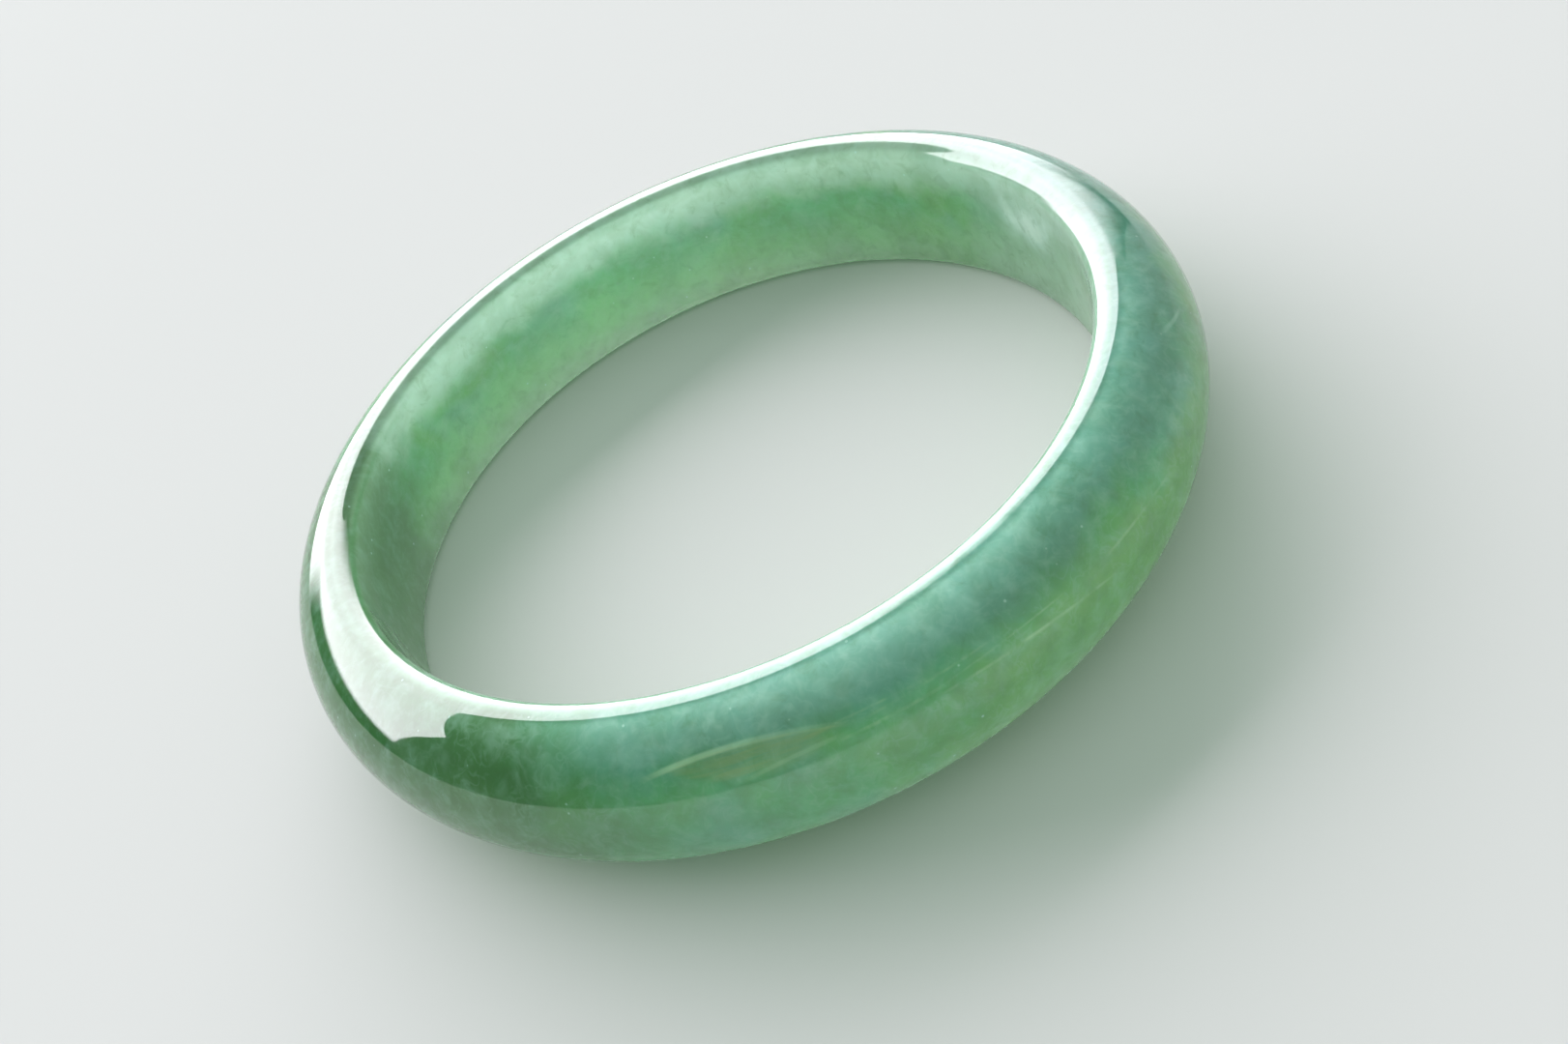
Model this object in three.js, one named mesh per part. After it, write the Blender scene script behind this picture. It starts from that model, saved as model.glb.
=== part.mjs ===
// Solid stone bangle bracelet, cut and ground from one piece of jadeite jade.
// Units are millimetres and +Z is up. The bangle lies flat: Z is the axis of the ring, and the
// origin is the centre of the plane that it rests on.
// The section is a D: a straight inner wall against the wrist, a domed outer face, four rounded
// edges, and a narrow flat on each rim, the lower of which is the face that it rests on.

import * as THREE from "three";

// Driving dimensions
const INNER_DIAMETER = 56; // the opening that the hand passes through
const WALL = 6.6; // from the inner wall to the widest line of the dome
const HEIGHT = 12; // along the axis
const EDGE_RADIUS = 1.25; // rounding of the four edges of the section
const RIM_FLAT = 0.5; // width of the narrow flat on each rim

// Facets
const TURN_STEPS = 96; // around the ring
const EDGE_STEPS = 5; // across each rounded edge
const DOME_STEPS = 16; // across the dome

// Sizes that follow from them
const INNER_RADIUS = INNER_DIAMETER / 2;
const OUTER_RADIUS = INNER_RADIUS + WALL;
const MID_HEIGHT = HEIGHT / 2;
const INNER_EDGE_CENTRE = INNER_RADIUS + EDGE_RADIUS;
const OUTER_EDGE_CENTRE = INNER_EDGE_CENTRE + RIM_FLAT;

// Points along an arc, both ends included, in the plane of the section (x = radius, y = height).
function arc(centreX, centreY, radius, fromAngle, toAngle, steps) {
  const points = [];
  for (let i = 0; i <= steps; i += 1) {
    const angle = THREE.MathUtils.lerp(fromAngle, toAngle, i / steps);
    const x = centreX + radius * Math.cos(angle);
    const y = centreY + radius * Math.sin(angle);
    points.push(new THREE.Vector2(x, y));
  }
  return points;
}

// The dome is one arc that runs smoothly into the rounded edge above it and the one below it.
// Its radius follows from where those two edges are centred and from the widest line.
function domeArc() {
  const reach = OUTER_RADIUS - OUTER_EDGE_CENTRE;
  const rise = MID_HEIGHT - EDGE_RADIUS;
  const radius = (reach ** 2 + rise ** 2 - EDGE_RADIUS ** 2) / (2 * (reach - EDGE_RADIUS));
  const centre = OUTER_RADIUS - radius;
  const halfAngle = Math.atan2(rise, OUTER_EDGE_CENTRE - centre);
  return { radius, centre, halfAngle };
}

// The closed outline of the section: up the dome, over the upper rim, down the inner wall, and
// round the lower rim.
function section() {
  const quarter = Math.PI / 2;
  const low = EDGE_RADIUS;
  const high = HEIGHT - EDGE_RADIUS;
  const dome = domeArc();
  const { halfAngle } = dome;
  const outline = [
    ...arc(OUTER_EDGE_CENTRE, low, EDGE_RADIUS, -quarter, -halfAngle, EDGE_STEPS),
    ...arc(dome.centre, MID_HEIGHT, dome.radius, -halfAngle, halfAngle, DOME_STEPS).slice(1, -1),
    ...arc(OUTER_EDGE_CENTRE, high, EDGE_RADIUS, halfAngle, quarter, EDGE_STEPS),
    ...arc(INNER_EDGE_CENTRE, high, EDGE_RADIUS, quarter, 2 * quarter, EDGE_STEPS),
    ...arc(INNER_EDGE_CENTRE, low, EDGE_RADIUS, 2 * quarter, 3 * quarter, EDGE_STEPS),
  ];
  outline.push(outline[0].clone());
  return outline;
}

// The whole bracelet is this one ring of stone.
function jadeRing() {
  const geometry = new THREE.LatheGeometry(section(), TURN_STEPS);
  geometry.rotateX(Math.PI / 2);
  const material = new THREE.MeshStandardMaterial({
    color: 0x2f8f6b,
    roughness: 0.08,
    metalness: 0,
  });
  const mesh = new THREE.Mesh(geometry, material);
  mesh.name = "jade_ring";
  return mesh;
}

const bangle = new THREE.Group();
bangle.add(jadeRing());

export default bangle;
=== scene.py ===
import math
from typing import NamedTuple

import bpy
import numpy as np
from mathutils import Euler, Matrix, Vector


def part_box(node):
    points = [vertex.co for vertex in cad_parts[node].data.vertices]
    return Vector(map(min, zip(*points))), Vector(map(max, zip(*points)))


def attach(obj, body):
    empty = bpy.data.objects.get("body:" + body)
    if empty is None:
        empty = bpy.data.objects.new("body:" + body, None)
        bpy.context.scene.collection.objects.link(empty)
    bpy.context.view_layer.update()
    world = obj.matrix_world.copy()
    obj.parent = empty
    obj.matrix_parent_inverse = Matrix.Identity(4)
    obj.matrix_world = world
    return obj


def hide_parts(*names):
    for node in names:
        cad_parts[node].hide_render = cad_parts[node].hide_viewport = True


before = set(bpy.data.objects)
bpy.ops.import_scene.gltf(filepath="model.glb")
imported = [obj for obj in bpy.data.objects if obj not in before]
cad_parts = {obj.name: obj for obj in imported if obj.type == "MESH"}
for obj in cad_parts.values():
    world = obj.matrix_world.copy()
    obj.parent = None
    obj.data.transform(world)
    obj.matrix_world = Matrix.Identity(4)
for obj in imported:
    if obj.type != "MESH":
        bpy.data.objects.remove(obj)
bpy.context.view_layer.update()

# Looks of a one-piece jade bangle: a finely ground ring of mottled green stone with a glassy
# polish, lying on a pale floor in soft window light. Lengths are in metres unless a name or a
# comment says millimetres. The stone's pattern is laid out in millimetres and in degrees of turn,
# from the front towards +X.

CAD_NODE = "jade_ring"
MM = 1000.0

# Camera, relative to the middle of the ring. It looks along +Y and down.
CAMERA_SENSOR_MM = 36.0
CAMERA_LENS_MM = 33.16
CAMERA_ELEVATION = math.radians(40.47)
CAMERA_ROLL = math.radians(26.73)
CAMERA_DISTANCE = 0.0987
CAMERA_AIM = Vector((0.0009, -0.0113, 0.0))
CAMERA_NEAR = 0.005
CAMERA_FAR = 20.0

# Section of the ring, where it isn't measured from the CAD node.
EDGE_RADIUS = 0.00125
RIM_FLAT = 0.0005
TURN_STEPS = 600
DOME_STEPS = 72
OUTER_EDGE_STEPS = 4
INNER_EDGE_STEPS = 14
FLAT_STEPS = 4
WALL_STEPS = 20

# Window behind the ring: a glowing upright panel that rises from floor level, beyond the floor's
# edge. Its azimuth is from +Y towards +X, and positions on it are to the right and up, from the
# point at floor level that is nearest to the ring.
WINDOW_DISTANCE = 4.5
WINDOW_FACING = math.radians(-21)
WINDOW_LEFT = -6.0
WINDOW_RIGHT = 10.5
WINDOW_TOP = 5.1
CURTAIN_WIDTH = 8.1
WINDOW_RADIANCE = 7.2
WINDOW_COLOR = (0.985, 0.955, 1.01)

# Sill of the window. Light comes in below it between two fades, and its blur grows to the right.
WINDOW_SILL = 1.2
LOW_LIGHT_FADES_IN = (-1.8, -0.75)
LOW_LIGHT_FADES_OUT = (8.4, 3.6)
SILL_BLUR_GROWS = (0.0, 4.5)
SILL_BLUR = (0.24, 1.05)

# Room round the ring. Its walls change over a range of the direction's part to the right, and the
# ceiling comes in over a range of the direction's part upwards.
ROOM_LEFT_COLOR = (0.14, 0.15, 0.14)
ROOM_RIGHT_COLOR = (0.6, 0.64, 0.62)
CEILING_COLOR = (0.6, 0.66, 0.66)
BACKDROP_COLOR = (0.78, 0.79, 0.78)
WALLS_CHANGE = (0.0, 0.9)
CEILING_STARTS = (0.55, 0.95)

FLOOR_COLOR = (0.575, 0.592, 0.568)
FLOOR_HALF = 3.0
FLOOR_ROUGHNESS = 0.9

# Greens of the stone, as linear colours. Some of them also carry painted light where the zones lay them.
EMERALD = (0.07, 0.255, 0.108)
# A fresh green that also carries painted light bounced up from the floor onto the inner wall's lower part.
FRESH_GREEN_WITH_FLOOR_BOUNCE = (0.14, 0.335, 0.125)
DEEP_GREEN = (0.042, 0.128, 0.038)
LEAF_GREEN = (0.1, 0.252, 0.062)
# Turquoise is the stone's own tone; in the band by the outer face's upper rim it also carries painted glow.
TURQUOISE = (0.102, 0.252, 0.196)
# Along the inner wall's top this grey green also carries painted glow of light through the rim.
GREY_GREEN = (0.25, 0.37, 0.285)
# Milk is the stone's own milky tone, and also the colour of the painted highlight arc.
MILK = (0.26, 0.43, 0.35)
CREAM = (0.42, 0.56, 0.48)
OLIVE = (0.2, 0.27, 0.12)
# Pale line is the colour of the leaf's lines, and of the painted reflection threads.
PALE_LINE = (0.42, 0.56, 0.38)

# How far light travels in the stone, in metres: in its body, in the upper shoulder of the outer
# face and in the upper rim, and how evenly in red, green and blue. The last colour is the share
# that each surface of the stone lets through to what lies in its shadow.
BODY_LIGHT_REACH = 0.027
SHOULDER_LIGHT_REACH = 0.0185
RIM_LIGHT_REACH = 0.0095
LIGHT_EVENNESS = (0.92, 1.0, 0.95)
PASSED_LIGHT = (0.4, 0.52, 0.42)

# Where the upper shoulder and the upper rim start and are full, in millimetres below the top and
# out from the bore, and where the outer face takes over from the inner wall.
SHOULDER_DEPTHS = (4.0, 0.6)
SHOULDER_FROM_BORE = (0.6, 1.4)
RIM_DEPTHS = (0.7, 0.05)
RIM_FROM_BORE = (2.5, 1.6)
OUTER_FACE_FROM_BORE = (0.8, 1.6)

JADE_IOR = 1.66
JADE_SPECULAR = 0.52
ROUGHNESS = (0.02, 0.07)
ROUGHNESS_NOISE = (0.3, 0.75)
NOISE_MIDDLE = 0.5

# Heights of the polish marks, in metres and as a share of the waves.
POLISH_WAVE = 0.000006
RUBBING_SHARE = 0.04


class Pattern(NamedTuple):
    """A noise: how far it is moved along each axis, so that it is unlike the others, and the size
    of its features, both in the units of the vector it is laid in, and its detail, roughness and
    distortion."""
    offset: float
    size: float
    detail: float
    roughness: float
    distortion: float


class Layer(NamedTuple):
    """A colour laid over the stone, up to its share, as a pattern's noise goes from start to
    full."""
    color: tuple
    pattern: Pattern
    start: float
    full: float
    share: float


class Zone(NamedTuple):
    """A colour laid over a part of one face. The turns are where it lies round the ring and the
    rise is where it lies up the face, in millimetres. Three numbers are two ends and their
    softness, two are where it starts and where it is full, and None is all of it."""
    color: tuple
    share: float
    turns: tuple | None
    rise: tuple | None


class Thread(NamedTuple):
    """A thin bowed line on the outer face. The bow is its peak's turn, its peak's place across and
    how fast it falls off with the turn squared, and the ends are its first and last turn."""
    bow: tuple
    ends: tuple
    half_width: float
    share: float


# Patches are large and run all through the stone, and clouds are its soft dark mottling.
PATCHES = (
    Layer(LEAF_GREEN, Pattern(31.0, 11.0, 2.0, 0.5, 0.3), 0.46, 0.68, 0.7),
    Layer(TURQUOISE, Pattern(57.0, 9.0, 2.0, 0.5, 0.3), 0.48, 0.68, 0.7),
    Layer(DEEP_GREEN, Pattern(83.0, 8.0, 2.0, 0.5, 0.3), 0.5, 0.74, 0.36),
)
FINE_CLOUDS = Pattern(19.0, 1.3, 4.0, 0.65, 0.6)
CLOUDS = (
    Layer(DEEP_GREEN, Pattern(0.0, 3.4, 3.0, 0.6, 0.5), 0.6, 0.35, 0.22),
    Layer(DEEP_GREEN, FINE_CLOUDS, 0.5, 0.3, 0.26),
)

# Milky wisps, stronger by the upper rim, and the net of veins, which lies between the fine dark
# clouds. Both are weaker on the inner wall.
WISPS = Pattern(43.0, 1.7, 3.0, 0.55, 0.5)
WISP_NOISE = (0.4, 0.78)
WISPS_GROW_ACROSS = (2.0, 8.3)
WISP_SHARES = (0.18, 0.34)
VEINS = Pattern(71.0, 1.1, 2.0, 0.5, 0.8)
VEIN_HALF_WIDTH = 0.09
VEIN_CLOUDS = (0.4, 0.6)
VEIN_SHARE = 0.12
MILK_GROWS_FROM_BORE = (0.2, 1.2)
MILK_ON_WALL = 0.5

# Milky grains: the cells they are scattered in, their size as a share of a cell, and which of them
# are kept.
FLECK_CELL_MM = 1.25
FLECK_EDGE = (0.1, 0.04)
FLECK_CHOICE = (0.7, 0.75)
FLECK_SHARE = 0.7

# Zones of the outer face, with their rise from its middle line, and of the inner wall, with their
# rise from its foot. Their edges sway by an amount in degrees or millimetres.
OUTER_ZONES = (
    Zone(DEEP_GREEN, 0.85, (-118.0, -30.0, 10.0), (-5.0, -1.0)),
    Zone(LEAF_GREEN, 0.8, (4.0, 62.0, 8.0), (3.6, 1.4)),
    # Bluish band by the upper rim: partly the stone's tone, partly painted glow of window light passing
    # through the rim.
    Zone(TURQUOISE, 0.9, (-27.0, 128.0, 9.0), (2.9, 5.8)),
)
INNER_ZONES = (
    # Fresh green below: partly the stone's tone, partly painted light bounced up from the floor.
    Zone(FRESH_GREEN_WITH_FLOOR_BOUNCE, 0.8, None, (8.5, 3.0)),
    # Bluish grey along the top: partly the stone's tone, partly painted glow of window light through the
    # rim.
    Zone(GREY_GREEN, 0.8, None, (7.2, 9.8)),
    Zone(DEEP_GREEN, 0.85, (-118.0, -64.0, 9.0), None),
    Zone(GREY_GREEN, 0.6, (58.0, 112.0, 9.0), None),
    Zone(CREAM, 0.9, (94.0, 106.0, 5.0), (6.2, 9.2, 1.6)),
)
TURN_SWAY = Pattern(0.0, 5.0, 3.0, 0.55, 0.0)
OUTER_RISE_SWAY = Pattern(12.0, 3.0, 3.0, 0.55, 0.0)
INNER_RISE_SWAY = Pattern(12.0, 4.0, 3.0, 0.55, 0.0)
OUTER_TURN_SWAYS_BY = 26.0
INNER_TURN_SWAYS_BY = 22.0
RISE_SWAYS_BY = 4.0

# The almond-shaped mark: its pale upper edge, a paler line low in it, its lower outline as a bow, its ends
# with their softness, and its fine grain, which is drawn out along it.
LEAF_UPPER = Thread((-13.2, 5.13, 0.0084), (-21.5, -2.0), 0.26, 0.42)
LEAF_LOWER = Thread((-4.0, 3.55, 0.0065), (-12.0, -3.0), 0.2, 0.15)
LEAF_UPPER_FADED = 0.12
LEAF_UPPER_FADES = (-3.0, -19.0)
LEAF_TOP_SOFTNESS = (0.05, -0.1)
LEAF_BOTTOM = (-10.0, 2.9, -0.016)
LEAF_BOTTOM_SOFTNESS = (-0.2, 0.5)
LEAF_ENDS = (-22.0, -2.0, 3.0)
LEAF_GRAIN = Pattern(0.0, 1.0, 3.0, 0.6, 0.3)
LEAF_GRAIN_PER_DEGREE = 0.12
LEAF_GRAIN_PER_MM = 2.2
LEAF_GRAIN_NOISE = (0.3, 0.7)
LEAF_SHARES = (0.15, 0.6)

# Painted reflection of an edge of the floor: fine pale threads that run on from the leaf, broken up by
# noise.
PAINTED_REFLECTION_THREADS = (
    Thread((-4.0, 3.3, 0.0006), (-3.0, 8.0), 0.16, 0.14),
    Thread((2.0, 2.9, 0.0022), (8.0, 24.0), 0.14, 0.13),
    Thread((5.0, 2.9, 0.0028), (16.0, 28.0), 0.13, 0.2),
    Thread((24.0, 2.6, 0.0018), (30.0, 40.0), 0.14, 0.16),
    Thread((6.0, 3.9, 0.002), (1.0, 15.0), 0.12, 0.14),
    Thread((12.0, 3.3, 0.0024), (9.0, 22.0), 0.1, 0.14),
    Thread((-2.0, 4.3, 0.003), (-4.0, 6.0), 0.12, 0.16),
)
THREAD_CORE = 0.25
THREAD_END_SOFTNESS = 2.0
THREAD_BREAKS = Pattern(5.0, 1.6, 2.0, 0.5, 0.0)
THREAD_BREAK_NOISE = (0.38, 0.6)
THREAD_LEAST = 0.15

# A painted highlight near the right end: a short pale arc that stands for a reflection in the polish. Its
# slope and bulge are in degrees for each millimetre, and each square millimetre, from its middle across the
# face.
ARC_TURN = 61.0
ARC_ACROSS = 4.7
ARC_SLOPE = -3.9
ARC_BULGE = 0.9
ARC_EDGE = (1.0, 0.2)
ARC_ENDS = (4.1, 5.3, 0.4)
ARC_SHARE = 0.4

# The polish: smears in the roughness, soft waves, and rubbing marks drawn out round the ring.
SMEARS = Pattern(7.0, 4.0, 3.0, 0.6, 0.0)
WAVES = Pattern(91.0, 2.6, 1.0, 0.4, 0.0)
RUBBING = Pattern(0.0, 1.0, 2.0, 0.6, 0.0)
RUBBING_PER_DEGREE = 0.25
RUBBING_PER_MM = 9.0


# ---------------------------------------------------------------- measures taken from the frame

def ring_measures():
    """Inner and outer radius and height of the CAD ring."""
    low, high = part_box(CAD_NODE)
    points = np.array([v.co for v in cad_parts[CAD_NODE].data.vertices])
    radii = np.hypot(points[:, 0], points[:, 1])
    return radii.min(), radii.max(), high.z - low.z


INNER_RADIUS, OUTER_RADIUS, HEIGHT = ring_measures()
MIDDLE = Vector((0.0, 0.0, HEIGHT / 2))
DOME_REACH = OUTER_RADIUS - (INNER_RADIUS + EDGE_RADIUS + RIM_FLAT)
DOME_RISE = HEIGHT / 2 - EDGE_RADIUS
DOME_RADIUS = (DOME_REACH ** 2 + DOME_RISE ** 2 - EDGE_RADIUS ** 2) / (
    2 * (DOME_REACH - EDGE_RADIUS)
)
DOME_CENTRE = OUTER_RADIUS - DOME_RADIUS


# ---------------------------------------------------------------- mesh of the ring

def arc(centre, radius, start, end, steps):
    """Points along an arc, without its last point, so that arcs can follow one another."""
    angles = np.linspace(start, end, steps, endpoint=False)
    return np.stack([centre[0] + radius * np.cos(angles), centre[1] + radius * np.sin(angles)], 1)


def line(start, end, steps):
    """Points along a straight stretch, without its last point."""
    shares = np.linspace(0, 1, steps, endpoint=False)[:, None]
    return np.array(start) * (1 - shares) + np.array(end) * shares


def section():
    """The closed D section as (radius, height) points, anticlockwise."""
    quarter = math.pi / 2
    inner_edge = INNER_RADIUS + EDGE_RADIUS
    outer_edge = inner_edge + RIM_FLAT
    low, high = EDGE_RADIUS, HEIGHT - EDGE_RADIUS
    half = math.atan2(DOME_RISE, outer_edge - DOME_CENTRE)
    return np.concatenate([
        line((inner_edge, 0), (outer_edge, 0), FLAT_STEPS),
        arc((outer_edge, low), EDGE_RADIUS, -quarter, -half, OUTER_EDGE_STEPS),
        arc((DOME_CENTRE, HEIGHT / 2), DOME_RADIUS, -half, half, DOME_STEPS),
        arc((outer_edge, high), EDGE_RADIUS, half, quarter, OUTER_EDGE_STEPS),
        line((outer_edge, HEIGHT), (inner_edge, HEIGHT), FLAT_STEPS),
        arc((inner_edge, high), EDGE_RADIUS, quarter, 2 * quarter, INNER_EDGE_STEPS),
        line((INNER_RADIUS, high), (INNER_RADIUS, low), WALL_STEPS),
        arc((inner_edge, low), EDGE_RADIUS, 2 * quarter, 3 * quarter, INNER_EDGE_STEPS),
    ])


def ring_mesh():
    """A closed ring of quads, turned from the section."""
    outline = section()
    count = len(outline)
    turns = np.linspace(0, 2 * math.pi, TURN_STEPS, endpoint=False)
    radius, height = outline[:, 0][None], outline[:, 1][None]
    x = radius * np.cos(turns)[:, None]
    y = radius * np.sin(turns)[:, None]
    z = height + 0 * x
    points = np.stack([x, y, z], -1).reshape(-1, 3)
    i = np.arange(TURN_STEPS)[:, None]
    j = np.arange(count)[None]
    here, along = i * count, ((i + 1) % TURN_STEPS) * count
    nxt = (j + 1) % count
    faces = np.stack([here + j, along + j, along + nxt, here + nxt], -1).reshape(-1, 4)
    mesh = bpy.data.meshes.new("jade_bangle")
    mesh.from_pydata(points.tolist(), [], faces.tolist())
    mesh.shade_smooth()
    mesh.update()
    return mesh


# ---------------------------------------------------------------- node helpers

class Graph:
    """A short way to write a material's nodes."""

    def __init__(self, tree):
        self.tree = tree
        tree.nodes.clear()

    def node(self, kind, inputs=None, **settings):
        """A new node with its settings and with its inputs fed by name."""
        made = self.tree.nodes.new(kind)
        for name, value in settings.items():
            setattr(made, name, value)
        for name, value in (inputs or {}).items():
            self.feed(made.inputs[name], value)
        return made

    def feed(self, socket, value):
        """Link a socket to another node's output, or set it to a plain value."""
        if isinstance(value, bpy.types.NodeSocket):
            self.tree.links.new(value, socket)
        else:
            socket.default_value = value

    def math(self, operation, *values):
        """The output of a math node."""
        made = self.node("ShaderNodeMath", operation=operation)
        for index, value in enumerate(values):
            self.feed(made.inputs[index], value)
        return made.outputs[0]

    def step(self, value, low, high, to_low=0.0, to_high=1.0):
        """Smooth step from to_low to to_high as value goes from low to high."""
        made = self.node("ShaderNodeMapRange", {
            "Value": value,
            "From Min": low,
            "From Max": high,
            "To Min": to_low,
            "To Max": to_high,
        }, interpolation_type="SMOOTHSTEP")
        return made.outputs["Result"]

    def blend(self, share, first, second):
        """The share of the second colour laid over the first. The mix node's colour sockets come
        after those for numbers and vectors."""
        made = self.node("ShaderNodeMix", data_type="RGBA")
        factor, colors, result = made.inputs[0], made.inputs[6:8], made.outputs[2]
        self.feed(factor, share)
        for socket, value in zip(colors, (first, second)):
            self.feed(socket, (*value, 1.0) if isinstance(value, tuple) else value)
        return result

    def moved(self, vector, distance):
        """The vector moved by one distance along each axis."""
        made = self.node("ShaderNodeVectorMath", operation="ADD")
        self.feed(made.inputs[0], vector)
        self.feed(made.inputs[1], (distance, distance, distance))
        return made.outputs[0]

    def noise(self, vector, pattern):
        """A pattern's noise, from 0 to 1."""
        made = self.node("ShaderNodeTexNoise", {
            "Vector": self.moved(vector, pattern.offset),
            "Scale": 1 / pattern.size,
            "Detail": pattern.detail,
            "Roughness": pattern.roughness,
            "Distortion": pattern.distortion,
        })
        return made.outputs["Fac"]


class Place:
    """Where a point of the ring is, as node outputs: its vector in millimetres, its turn from the
    front towards +X in degrees, and in millimetres its height, its depth below the top, its
    radius, its distance from the bore, and its distance across the outer face, upwards from that
    face's middle line."""

    def __init__(self, g):
        coords = g.node("ShaderNodeTexCoord").outputs["Object"]
        scaled = g.node("ShaderNodeVectorMath", {"Vector": coords, "Scale": MM}, operation="SCALE")
        self.vector = scaled.outputs[0]
        x, y, self.height = g.node("ShaderNodeSeparateXYZ", {"Vector": self.vector}).outputs
        self.depth = g.math("SUBTRACT", HEIGHT * MM, self.height)
        turn = g.math("ARCTAN2", x, g.math("MULTIPLY", y, -1.0))
        self.turn = g.math("MULTIPLY", turn, math.degrees(1.0))
        self.radius = g.math("SQRT", g.math("ADD", g.math("POWER", x, 2.0), g.math("POWER", y, 2.0)))
        self.from_bore = g.math("SUBTRACT", self.radius, INNER_RADIUS * MM)
        rise = g.math("SUBTRACT", self.height, HEIGHT * MM / 2)
        reach = g.math("SUBTRACT", self.radius, DOME_CENTRE * MM)
        self.across = g.math("MULTIPLY", g.math("ARCTAN2", rise, reach), DOME_RADIUS * MM)


# ---------------------------------------------------------------- the stone

def span(g, value, low, high, soft):
    """1 between low and high and 0 outside, with both ends spread over soft to each side."""
    rising = g.step(value, low - soft, low + soft)
    falling = g.step(value, high + soft, high - soft)
    return g.math("MULTIPLY", rising, falling)


def extent(g, value, limits):
    """1 inside a zone's limits and 0 outside: a span if they are three numbers, a step if two."""
    if len(limits) == 3:
        return span(g, value, *limits)
    return g.step(value, *limits)


def sway(g, value, here, pattern, amount):
    """The value moved up and down by soft noise, so that zones get cloudy edges."""
    off_middle = g.math("SUBTRACT", g.noise(here.vector, pattern), NOISE_MIDDLE)
    return g.math("MULTIPLY_ADD", off_middle, amount, value)


def product(g, *values):
    """All the values multiplied together."""
    total = values[0]
    for value in values[1:]:
        total = g.math("MULTIPLY", total, value)
    return total


def lay(g, here, color, layers):
    """The colour with each layer over it in turn."""
    for layer in layers:
        share = g.step(g.noise(here.vector, layer.pattern), layer.start, layer.full, 0.0, layer.share)
        color = g.blend(share, color, layer.color)
    return color


def paint(g, color, zones, face, turn, rise):
    """The colour with each zone of a face over it in turn."""
    for zone in zones:
        share = g.math("MULTIPLY", face, zone.share)
        if zone.turns:
            share = g.math("MULTIPLY", share, extent(g, turn, zone.turns))
        if zone.rise:
            share = g.math("MULTIPLY", share, extent(g, rise, zone.rise))
        color = g.blend(share, color, zone.color)
    return color


def patches(g, here, color):
    """Large soft patches of neighbouring greens that run all through the stone."""
    return lay(g, here, color, PATCHES)


def outer_zones(g, here, color):
    """Zones of the domed face: deep at the left, leafy low at the right, bluish by the upper rim, where the
    bluish band is partly the stone's tone and partly painted glow of light through the rim.
    """
    turn = sway(g, here.turn, here, TURN_SWAY, OUTER_TURN_SWAYS_BY)
    rise = sway(g, here.across, here, OUTER_RISE_SWAY, RISE_SWAYS_BY)
    face = g.step(here.from_bore, *OUTER_FACE_FROM_BORE)
    return paint(g, color, OUTER_ZONES, face, turn, rise)


def inner_zones(g, here, color):
    """Zones of the inner wall: bluish grey along the top, partly painted glow of light through the rim,
    fresh green below, partly painted light bounced up from the floor, deep at one side, and grey with a
    milky patch at the other."""
    turn = sway(g, here.turn, here, TURN_SWAY, INNER_TURN_SWAYS_BY)
    rise = sway(g, here.height, here, INNER_RISE_SWAY, RISE_SWAYS_BY)
    face = g.step(here.from_bore, *reversed(OUTER_FACE_FROM_BORE))
    return paint(g, color, INNER_ZONES, face, turn, rise)


def clouds(g, here, color):
    """Soft mottling in two sizes, milky wisps and a net of hair-thin pale veins."""
    color = lay(g, here, color, CLOUDS)
    milkiness = g.step(here.from_bore, *MILK_GROWS_FROM_BORE, MILK_ON_WALL, 1.0)
    wisps = g.step(g.noise(here.vector, WISPS), *WISP_NOISE)
    near_rim = g.step(here.across, *WISPS_GROW_ACROSS, *WISP_SHARES)
    color = g.blend(product(g, wisps, near_rim, milkiness), color, MILK)
    off_vein = g.math("ABSOLUTE", g.math("SUBTRACT", g.noise(here.vector, VEINS), NOISE_MIDDLE))
    vein = g.step(off_vein, VEIN_HALF_WIDTH, 0.0)
    in_cloud = g.step(g.noise(here.vector, FINE_CLOUDS), *VEIN_CLOUDS, 0.0, VEIN_SHARE)
    return g.blend(product(g, vein, in_cloud, milkiness), color, MILK)


def flecks(g, here, color):
    """Tiny milky grains, scattered thinly."""
    cells = g.node("ShaderNodeTexVoronoi", {"Vector": here.vector, "Scale": 1 / FLECK_CELL_MM})
    draw = g.node("ShaderNodeSeparateColor", {"Color": cells.outputs["Color"]}).outputs[0]
    grain = g.step(cells.outputs["Distance"], *FLECK_EDGE)
    return g.blend(product(g, grain, g.step(draw, *FLECK_CHOICE), FLECK_SHARE), color, MILK)


def above_bow(g, here, bow):
    """How far a point is above a bow, across the face."""
    peak_turn, peak_across, fall = bow
    off_peak = g.math("POWER", g.math("SUBTRACT", here.turn, peak_turn), 2.0)
    return g.math("SUBTRACT", here.across, g.math("MULTIPLY_ADD", off_peak, -fall, peak_across))


def on_thread(g, here, thread):
    """1 on a thread's line and 0 away from it."""
    distance = g.math("ABSOLUTE", above_bow(g, here, thread.bow))
    thin = g.step(distance, thread.half_width, thread.half_width * THREAD_CORE)
    return g.math("MULTIPLY", thin, span(g, here.turn, *thread.ends, THREAD_END_SOFTNESS))


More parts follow.
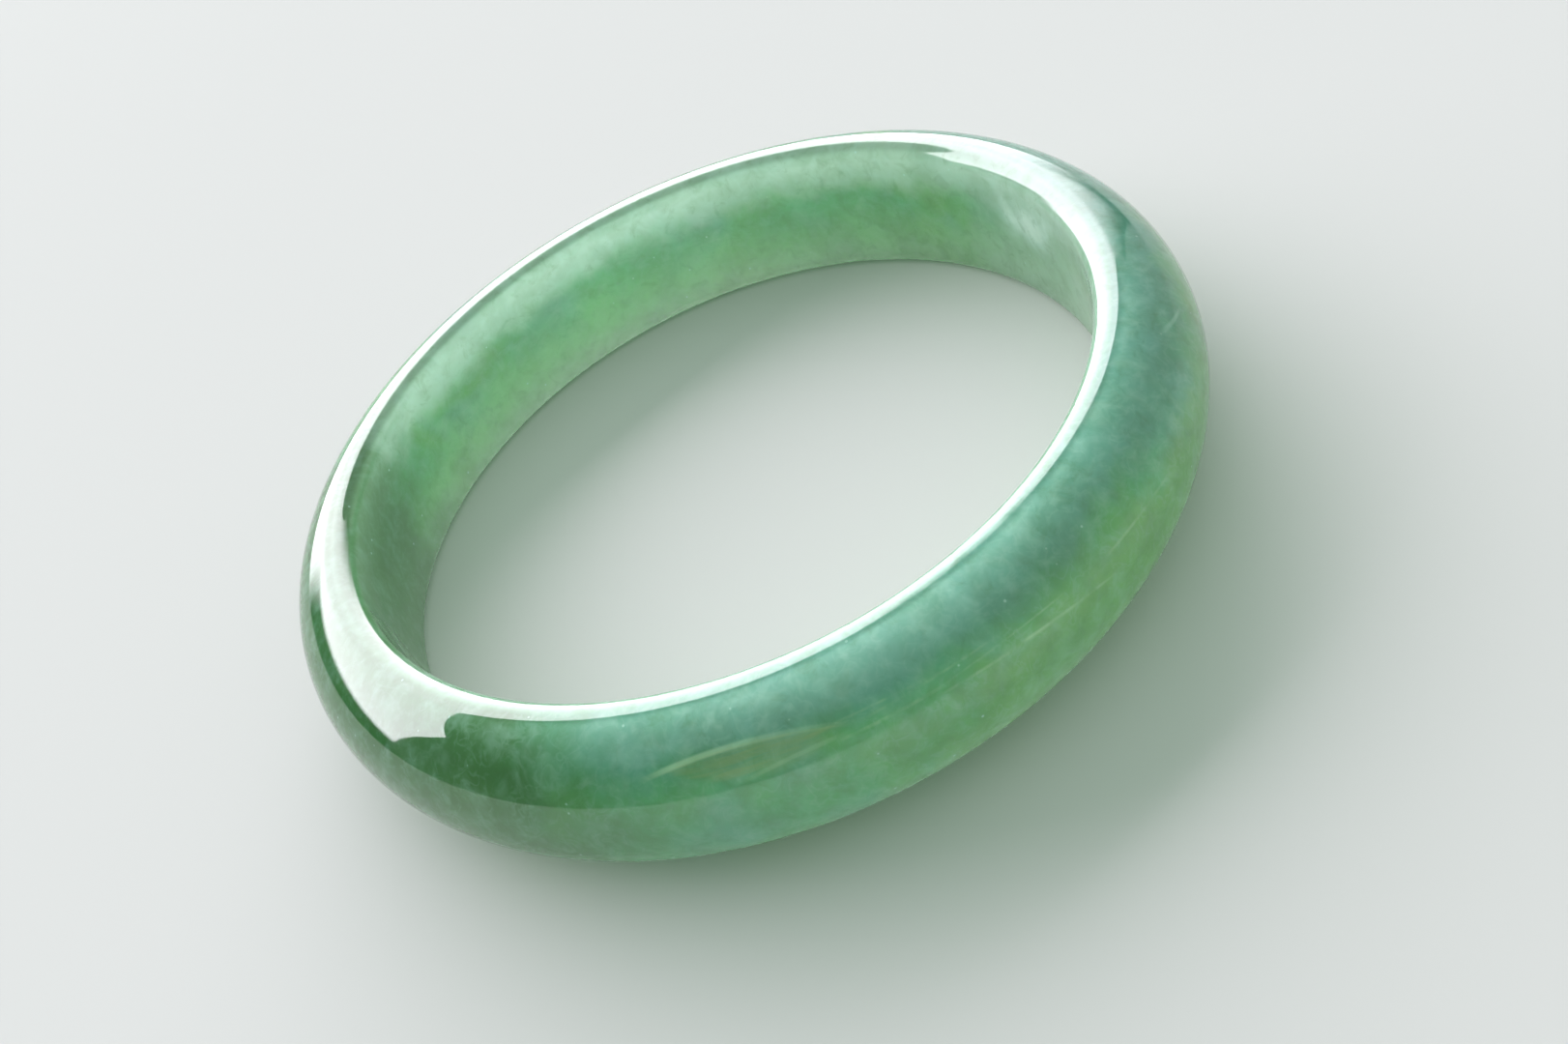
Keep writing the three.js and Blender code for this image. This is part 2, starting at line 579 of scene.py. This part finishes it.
def leaf(g, here, color):
    """A long almond-shaped mark: an olive body under a pale upper edge, and a paler line low in it, with
    fine grain along its length."""
    below_top = g.step(above_bow(g, here, LEAF_UPPER.bow), *LEAF_TOP_SOFTNESS)
    over_bottom = g.step(above_bow(g, here, LEAF_BOTTOM), *LEAF_BOTTOM_SOFTNESS)
    body = product(g, below_top, over_bottom, span(g, here.turn, *LEAF_ENDS))
    along = g.node("ShaderNodeCombineXYZ", {
        "X": g.math("MULTIPLY", here.turn, LEAF_GRAIN_PER_DEGREE),
        "Y": g.math("MULTIPLY", here.across, LEAF_GRAIN_PER_MM),
    }).outputs[0]
    grain = g.step(g.noise(along, LEAF_GRAIN), *LEAF_GRAIN_NOISE, *LEAF_SHARES)
    color = g.blend(g.math("MULTIPLY", body, grain), color, OLIVE)
    fading = g.step(here.turn, *LEAF_UPPER_FADES, LEAF_UPPER_FADED, LEAF_UPPER.share)
    color = g.blend(g.math("MULTIPLY", on_thread(g, here, LEAF_UPPER), fading), color, PALE_LINE)
    return g.blend(g.math("MULTIPLY", on_thread(g, here, LEAF_LOWER), LEAF_LOWER.share), color, PALE_LINE)


def painted_reflection_streaks(g, here, color):
    """Painted reflection of an edge of the floor, drawn as fine broken threads that run on from the leaf.
    """
    broken = g.step(g.noise(here.vector, THREAD_BREAKS), *THREAD_BREAK_NOISE, THREAD_LEAST, 1.0)
    for thread in PAINTED_REFLECTION_THREADS:
        share = product(g, on_thread(g, here, thread), broken, thread.share)
        color = g.blend(share, color, PALE_LINE)
    return color


def painted_highlight_arc(g, here, color):
    """A painted highlight: a short bright arc near the right end, standing for a reflection in the polish.
    """
    off_middle = g.math("SUBTRACT", here.across, ARC_ACROSS)
    straight = g.math("MULTIPLY_ADD", off_middle, ARC_SLOPE, ARC_TURN)
    bulge = g.math("POWER", off_middle, 2.0)
    off_line = g.math("SUBTRACT", here.turn, g.math("MULTIPLY_ADD", bulge, ARC_BULGE, straight))
    near_line = g.step(g.math("ABSOLUTE", off_line), *ARC_EDGE)
    return g.blend(product(g, near_line, span(g, here.across, *ARC_ENDS), ARC_SHARE), color, MILK)


def polish(g, here):
    """Roughness of a hand polish, and a bump of soft waves and faint rubbing marks."""
    roughness = g.step(g.noise(here.vector, SMEARS), *ROUGHNESS_NOISE, *ROUGHNESS)
    drawn_out = g.node("ShaderNodeCombineXYZ", {
        "X": g.math("MULTIPLY", here.turn, RUBBING_PER_DEGREE),
        "Y": g.math("MULTIPLY", here.across, RUBBING_PER_MM),
        "Z": g.math("MULTIPLY", here.radius, RUBBING_PER_MM),
    }).outputs[0]
    rubbing = g.noise(drawn_out, RUBBING)
    height = g.math("MULTIPLY_ADD", rubbing, RUBBING_SHARE, g.noise(here.vector, WAVES))
    bump = g.node("ShaderNodeBump", {"Strength": 1.0, "Distance": POLISH_WAVE, "Height": height})
    return roughness, bump.outputs[0]


def light_reach(g, here):
    """How far light travels in the stone: less in the upper shoulder, and less again in the upper
    rim."""
    shoulder = product(g, g.step(here.depth, *SHOULDER_DEPTHS), g.step(here.from_bore, *SHOULDER_FROM_BORE))
    rim = product(g, g.step(here.depth, *RIM_DEPTHS), g.step(here.from_bore, *RIM_FROM_BORE))
    reach = g.step(shoulder, 0.0, 1.0, BODY_LIGHT_REACH, SHOULDER_LIGHT_REACH)
    return g.step(rim, 0.0, 1.0, reach, RIM_LIGHT_REACH)


def jade():
    """Translucent, polished, mottled green stone, which throws a soft green shadow."""
    material = bpy.data.materials.new("jade")
    material.use_nodes = True
    g = Graph(material.node_tree)
    here = Place(g)
    color = EMERALD
    for layer in (patches, outer_zones, inner_zones, clouds, flecks, leaf, painted_reflection_streaks, painted_highlight_arc):
        color = layer(g, here, color)
    roughness, normal = polish(g, here)
    shader = g.node("ShaderNodeBsdfPrincipled", {
        "Base Color": color,
        "Roughness": roughness,
        "IOR": JADE_IOR,
        "Specular IOR Level": JADE_SPECULAR,
        "Normal": normal,
        "Subsurface Weight": 1.0,
        "Subsurface Radius": LIGHT_EVENNESS,
        "Subsurface Scale": light_reach(g, here),
    }, subsurface_method="RANDOM_WALK")
    passed = g.node("ShaderNodeBsdfTransparent", {"Color": (*PASSED_LIGHT, 1.0)})
    for_shadows = g.node("ShaderNodeLightPath").outputs["Is Shadow Ray"]
    mixed = g.node("ShaderNodeMixShader", {"Fac": for_shadows})
    g.feed(mixed.inputs[1], shader.outputs[0])
    g.feed(mixed.inputs[2], passed.outputs[0])
    g.node("ShaderNodeOutputMaterial", {"Surface": mixed.outputs[0]})
    return material


def make_bangle():
    """The bangle, in place of the CAD ring."""
    bangle = bpy.data.objects.new("jade_bangle", ring_mesh())
    bpy.context.scene.collection.objects.link(bangle)
    bangle.data.materials.append(jade())
    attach(bangle, "root")
    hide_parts(CAD_NODE)


# ---------------------------------------------------------------- floor, light and camera

def panel(name, corners, material):
    """A flat four-cornered panel of one material."""
    mesh = bpy.data.meshes.new(name)
    mesh.from_pydata([(*corner, 0.0) for corner in corners], [], [(0, 1, 2, 3)])
    mesh.materials.append(material)
    made = bpy.data.objects.new(name, mesh)
    bpy.context.scene.collection.objects.link(made)
    return made


def pale_floor():
    """A plain pale surface without gloss, so that low views don't burn out."""
    material = bpy.data.materials.new("floor")
    material.use_nodes = True
    shader = material.node_tree.nodes["Principled BSDF"]
    shader.inputs["Base Color"].default_value = (*FLOOR_COLOR, 1.0)
    shader.inputs["Roughness"].default_value = FLOOR_ROUGHNESS
    shader.inputs["Specular IOR Level"].default_value = 0.0
    return material


def make_floor():
    """The square of floor that the ring lies on."""
    signs = ((-1, -1), (1, -1), (1, 1), (-1, 1))
    corners = [(x * FLOOR_HALF, y * FLOOR_HALF) for x, y in signs]
    floor = panel("floor", corners, pale_floor())


def window_glow():
    """Light of a window with a crisp left edge, a curtained right edge and sills at both sides."""
    material = bpy.data.materials.new("window_glow")
    material.use_nodes = True
    g = Graph(material.node_tree)
    coords = g.node("ShaderNodeTexCoord").outputs["Object"]
    x, z, _ = g.node("ShaderNodeSeparateXYZ", {"Vector": coords}).outputs
    curtain = g.step(x, WINDOW_RIGHT, WINDOW_RIGHT - CURTAIN_WIDTH)
    blur = g.step(x, *SILL_BLUR_GROWS, *SILL_BLUR)
    above_sill = g.step(g.math("DIVIDE", g.math("SUBTRACT", z, WINDOW_SILL), blur), -1.0, 1.0)
    low_light = product(g, g.step(x, *LOW_LIGHT_FADES_IN), g.step(x, *LOW_LIGHT_FADES_OUT))
    lit = g.math("MAXIMUM", above_sill, low_light)
    glow = g.node("ShaderNodeEmission", {
        "Color": (*WINDOW_COLOR, 1.0),
        "Strength": product(g, lit, curtain, WINDOW_RADIANCE),
    })
    g.node("ShaderNodeOutputMaterial", {"Surface": glow.outputs[0]})
    return material


def make_window():
    """The window's glowing panel, which the camera itself doesn't see."""
    corners = (
        (WINDOW_LEFT, 0.0), (WINDOW_RIGHT, 0.0), (WINDOW_RIGHT, WINDOW_TOP), (WINDOW_LEFT, WINDOW_TOP),
    )
    window = panel("window", corners, window_glow())
    outward = Vector((math.sin(WINDOW_FACING), math.cos(WINDOW_FACING), 0.0))
    window.location = outward * WINDOW_DISTANCE
    window.rotation_euler = (math.pi / 2, 0.0, -WINDOW_FACING)
    window.visible_camera = False


def make_world():
    """A dim room for light and reflections, brighter on its right, and a plain pale backdrop."""
    world = bpy.data.worlds.new("room")
    bpy.context.scene.world = world
    world.use_nodes = True
    g = Graph(world.node_tree)
    coords = g.node("ShaderNodeTexCoord").outputs["Generated"]
    rightward, _, upward = g.node("ShaderNodeSeparateXYZ", {"Vector": coords}).outputs
    walls = g.blend(g.step(rightward, *WALLS_CHANGE), ROOM_LEFT_COLOR, ROOM_RIGHT_COLOR)
    color = g.blend(g.step(upward, *CEILING_STARTS), walls, CEILING_COLOR)
    room = g.node("ShaderNodeBackground", {"Color": color})
    backdrop = g.node("ShaderNodeBackground", {"Color": (*BACKDROP_COLOR, 1.0)})
    seen = g.node("ShaderNodeLightPath").outputs["Is Camera Ray"]
    mixed = g.node("ShaderNodeMixShader", {"Fac": seen})
    g.feed(mixed.inputs[1], room.outputs[0])
    g.feed(mixed.inputs[2], backdrop.outputs[0])
    g.node("ShaderNodeOutputWorld", {"Surface": mixed.outputs[0]})


def make_camera():
    """A camera above the front of the ring, which looks down at it and is rolled."""
    data = bpy.data.cameras.new("camera")
    data.sensor_width = CAMERA_SENSOR_MM
    data.lens = CAMERA_LENS_MM
    data.clip_start = CAMERA_NEAR
    data.clip_end = CAMERA_FAR
    camera = bpy.data.objects.new("camera", data)
    bpy.context.scene.collection.objects.link(camera)
    back = Vector((0.0, -math.cos(CAMERA_ELEVATION), math.sin(CAMERA_ELEVATION)))
    camera.location = MIDDLE + CAMERA_AIM + back * CAMERA_DISTANCE
    tilt = Euler((math.pi / 2 - CAMERA_ELEVATION, 0.0, 0.0)).to_quaternion()
    roll = Euler((0.0, 0.0, -CAMERA_ROLL)).to_quaternion()
    camera.rotation_mode = "QUATERNION"
    camera.rotation_quaternion = tilt @ roll
    bpy.context.scene.camera = camera


def set_picture():
    """Plain colours, without a film look."""
    view = bpy.context.scene.view_settings
    view.view_transform = "Standard"
    view.look = "None"


make_camera()
make_world()
make_window()
make_floor()
make_bangle()
set_picture()
